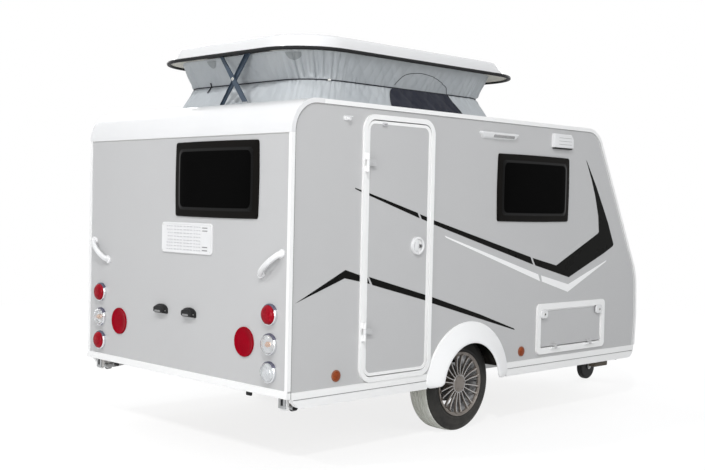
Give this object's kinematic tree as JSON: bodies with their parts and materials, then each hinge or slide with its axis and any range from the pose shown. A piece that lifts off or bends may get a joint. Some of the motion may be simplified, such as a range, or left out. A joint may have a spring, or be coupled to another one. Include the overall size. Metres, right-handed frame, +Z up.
{
  "type": "pop-top caravan",
  "caption": "Small single-axle touring caravan with a lifting roof on scissor arms, canvas walls, side entrance door, drawbar hitch and jockey wheel.",
  "frame": {"origin": "on the ground under the middle of the whole object's box", "axes": "+X forward to the hitch, +Y to the left side, +Z up"},
  "size_m": [4.6089, 2.0818, 2.406],
  "materials": {
    "tyre": "moulded",
    "wheel_alloy": "satin grey lacquer",
    "galvanised_steel": "galvanised",
    "hitch_black": "satin",
    "jockey_rubber": "matt",
    "canvas": "coated cloth",
    "white_profile": "semi gloss",
    "white_moulding": "gloss",
    "grey_sheet": "satin",
    "roof_sheet": "semi gloss",
    "floor_board": "coated board",
    "tinted_pane": "gloss",
    "red_lens": "prismatic",
    "lamp_lens": "clear lens",
    "amber_lens": "clear lens",
    "black_plastic": "satin",
    "seal_rubber": "matt",
    "scissor_steel": "satin"
  },
  "bodies": {
    "caravan": {"axle_tube": "galvanised_steel", "awning_light": "white_moulding", "canvas": "canvas", "chassis_member_left": "galvanised_steel", "chassis_member_right": "galvanised_steel", "corner_trim_left": "white_profile", "corner_trim_right": "white_profile", "coupling_head": "hitch_black", "cross_members": "galvanised_steel", "door_frame": "white_profile", "floor_panel": "floor_board", "front_wall": "grey_sheet", "front_window": "tinted_pane", "grab_handles": "white_moulding", "jockey_tube": "galvanised_steel", "locker_frame": "white_profile", "plate_lamps": "black_plastic", "rear_bottom_trim": "white_profile", "rear_lamps": "lamp_lens", "rear_reflectors": "red_lens", "rear_roof_cap": "white_moulding", "rear_wall": "grey_sheet", "rear_window": "tinted_pane", "roof_panel": "roof_sheet", "scissor_brackets": "galvanised_steel", "side_lights": "amber_lens", "side_wall_left": "grey_sheet", "side_wall_right": "grey_sheet", "side_windows": "tinted_pane", "skirt_left": "white_profile", "skirt_right": "white_profile", "steady_brackets": "galvanised_steel", "swing_arms": "galvanised_steel", "vent_box": "white_moulding", "vent_grille": "white_moulding", "wheel_arches": "white_moulding", "wheel_boxes": "floor_board"},
    "door": {"entrance_door": "grey_sheet", "door_edging": "white_profile", "door_handle": "white_moulding"},
    "locker_lid": {"locker_flap": "grey_sheet"},
    "wheel_right_body": {"tyre_right": "tyre", "wheel_rim_right": "wheel_alloy"},
    "wheel_left_body": {"tyre_left": "tyre", "wheel_rim_left": "wheel_alloy"},
    "handbrake": {"handbrake_lever": "hitch_black"},
    "jockey_slide_body": {"jockey_stem": "galvanised_steel"},
    "jockey_fork_body": {"jockey_fork": "galvanised_steel"},
    "jockey_wheel_body": {"jockey_wheel": "jockey_rubber"},
    "steady_rear_right_body": {"steady_rear_right": "galvanised_steel"},
    "steady_rear_left_body": {"steady_rear_left": "galvanised_steel"},
    "steady_front_right_body": {"steady_front_right": "galvanised_steel"},
    "steady_front_left_body": {"steady_front_left": "galvanised_steel"},
    "lid": {"lid_shell": "white_moulding", "lid_seal": "seal_rubber"},
    "scissor_hinged": {"scissor_arms_hinged": "scissor_steel"},
    "scissor_crossing": {"scissor_arms_crossing": "scissor_steel"}
  },
  "joints": [
    {"name": "wheel_right_spin", "type": "hinge", "parent": "caravan", "child": "wheel_right_body", "pos_m": [-0.7555, -0.84, 0.299], "axis": [0, 1, 0], "continuous": true},
    {"name": "wheel_left_spin", "type": "hinge", "parent": "caravan", "child": "wheel_left_body", "pos_m": [-0.7555, 0.84, 0.299], "axis": [0, 1, 0], "continuous": true},
    {"name": "door_hinge", "type": "hinge", "parent": "caravan", "child": "door", "pos_m": [-1.7095, -1.025, 1.17], "axis": [0, 0, -1], "range_deg": [0, 165]},
    {"name": "locker_hinge", "type": "hinge", "parent": "caravan", "child": "locker_lid", "pos_m": [0.36, -1.0165, 0.466], "axis": [1, 0, 0], "range_deg": [0, 120]},
    {"name": "handbrake_pivot", "type": "hinge", "parent": "caravan", "child": "handbrake", "pos_m": [1.8325, 0, 0.506], "axis": [0, -1, 0], "range_deg": [0, 70]},
    {"name": "jockey_slide", "type": "slide", "parent": "caravan", "child": "jockey_slide_body", "axis": [0, 0, 1], "range_m": [0, 0.09]},
    {"name": "jockey_swivel", "type": "hinge", "parent": "jockey_slide_body", "child": "jockey_fork_body", "pos_m": [1.7575, -0.232, 0.21], "axis": [0, 0, 1], "continuous": true},
    {"name": "jockey_wheel_spin", "type": "hinge", "parent": "jockey_fork_body", "child": "jockey_wheel_body", "pos_m": [1.7195, -0.232, 0.1], "axis": [0, 1, 0], "continuous": true},
    {"name": "steady_rear_right_drop", "type": "hinge", "parent": "caravan", "child": "steady_rear_right_body", "pos_m": [-1.7925, -0.918, 0.351], "axis": [0, -1, 0], "range_deg": [0, 58]},
    {"name": "steady_rear_left_drop", "type": "hinge", "parent": "caravan", "child": "steady_rear_left_body", "pos_m": [-1.7925, 0.918, 0.351], "axis": [0, -1, 0], "range_deg": [0, 58]},
    {"name": "steady_front_right_drop", "type": "hinge", "parent": "caravan", "child": "steady_front_right_body", "pos_m": [0.6775, -0.918, 0.351], "axis": [0, 1, 0], "range_deg": [0, 58]},
    {"name": "steady_front_left_drop", "type": "hinge", "parent": "caravan", "child": "steady_front_left_body", "pos_m": [0.6775, 0.918, 0.351], "axis": [0, 1, 0], "range_deg": [0, 58]},
    {"name": "lid_lift", "type": "slide", "parent": "caravan", "child": "lid", "axis": [0, 0, 1], "range_m": [-0.3, 0], "deforming": ["canvas"]},
    {"name": "scissor_pivot", "type": "hinge", "parent": "caravan", "child": "scissor_hinged", "pos_m": [-0.96, -0.21313, 2], "axis": [1, 0, 0], "range_deg": [-49, 0]},
    {"name": "scissor_cross", "type": "hinge", "parent": "scissor_hinged", "child": "scissor_crossing", "pos_m": [-0.96, -0.085, 2.15599], "axis": [1, 0, 0], "range_deg": [0, 98]}
  ],
  "couplings": [
    {"joint": "scissor_pivot", "follows": "lid_lift", "rad_per_m": 2.8449},
    {"joint": "scissor_cross", "follows": "lid_lift", "rad_per_m": -5.6898}
  ]
}
